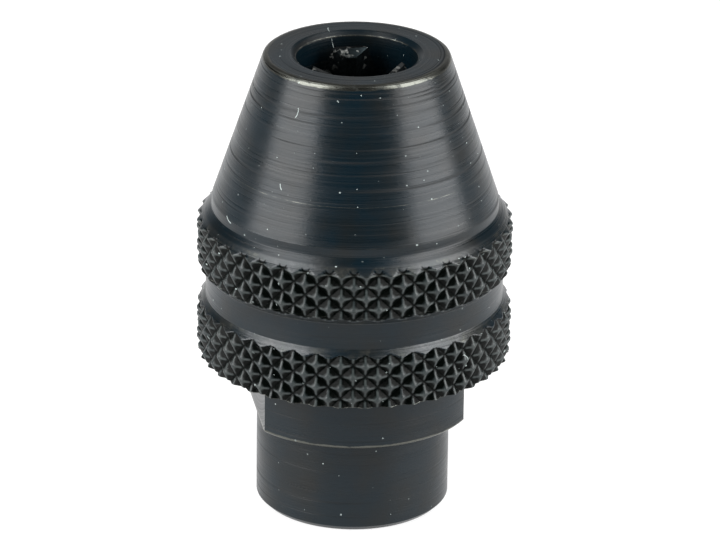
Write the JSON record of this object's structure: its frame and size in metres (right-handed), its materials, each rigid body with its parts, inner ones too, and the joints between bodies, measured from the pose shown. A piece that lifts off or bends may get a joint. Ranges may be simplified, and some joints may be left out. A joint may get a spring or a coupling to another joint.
{
  "type": "keyless drill chuck",
  "caption": "Small keyless drill chuck: a tapered knurled nose sleeve screws down over a flatted hub and closes the jaws on a tool shank.",
  "frame": {"origin": "middle of the neck's end face, which is the lowest face and stands on the surface", "axes": "+Z along the chuck's axis from the neck to the nose, the two wrench flats face -X and +X, one jaw points to +Y"},
  "size_m": [0.016, 0.016, 0.0241],
  "materials": {
    "sleeve_black_oxide": "turned steel with a satin black-oxide coat, diamond knurled grip bands",
    "hub_black_oxide": "turned steel with a satin black-oxide coat",
    "jaw_hardened_steel": "hardened and ground steel, worn bright at the grip",
    "spring_steel": "bright drawn spring wire",
    "ground_steel": "ground steel"
  },
  "bodies": {
    "hub_body": {"hub": "hub_black_oxide", "thrust_washer": "ground_steel"},
    "ring_body": {"retaining_ring": "spring_steel"},
    "sleeve_body": {"nose_sleeve": "sleeve_black_oxide"},
    "jaw_1_body": {"jaw_1": "jaw_hardened_steel", "jaw_spring_1": "spring_steel"},
    "jaw_2_body": {"jaw_2": "jaw_hardened_steel", "jaw_spring_2": "spring_steel"},
    "jaw_3_body": {"jaw_3": "jaw_hardened_steel", "jaw_spring_3": "spring_steel"}
  },
  "joints": [
    {"name": "sleeve_travel", "type": "slide", "parent": "hub_body", "child": "ring_body", "axis": [0, 0, -1], "range_m": [0, 0.0036]},
    {"name": "sleeve_turn", "type": "hinge", "parent": "ring_body", "child": "sleeve_body", "pos_m": [0, 0, 0.012], "axis": [0, 0, -1], "range_deg": [0, 1296]},
    {"name": "jaw_1_slide", "type": "slide", "parent": "hub_body", "child": "jaw_1_body", "axis": [0, -1, 0], "range_m": [0, 0.00145], "deforming": ["jaw_spring_1"]},
    {"name": "jaw_2_slide", "type": "slide", "parent": "hub_body", "child": "jaw_2_body", "axis": [0.866, 0.5, 0], "range_m": [0, 0.00145], "deforming": ["jaw_spring_2"]},
    {"name": "jaw_3_slide", "type": "slide", "parent": "hub_body", "child": "jaw_3_body", "axis": [-0.866, 0.5, 0], "range_m": [0, 0.00145], "deforming": ["jaw_spring_3"]}
  ],
  "couplings": [
    {"joint": "sleeve_travel", "follows": "sleeve_turn", "m_per_rad": 0.00015915},
    {"joint": "jaw_1_slide", "follows": "sleeve_turn", "m_per_rad": 0.000064303},
    {"joint": "jaw_2_slide", "follows": "sleeve_turn", "m_per_rad": 0.000064303},
    {"joint": "jaw_3_slide", "follows": "sleeve_turn", "m_per_rad": 0.000064303}
  ]
}
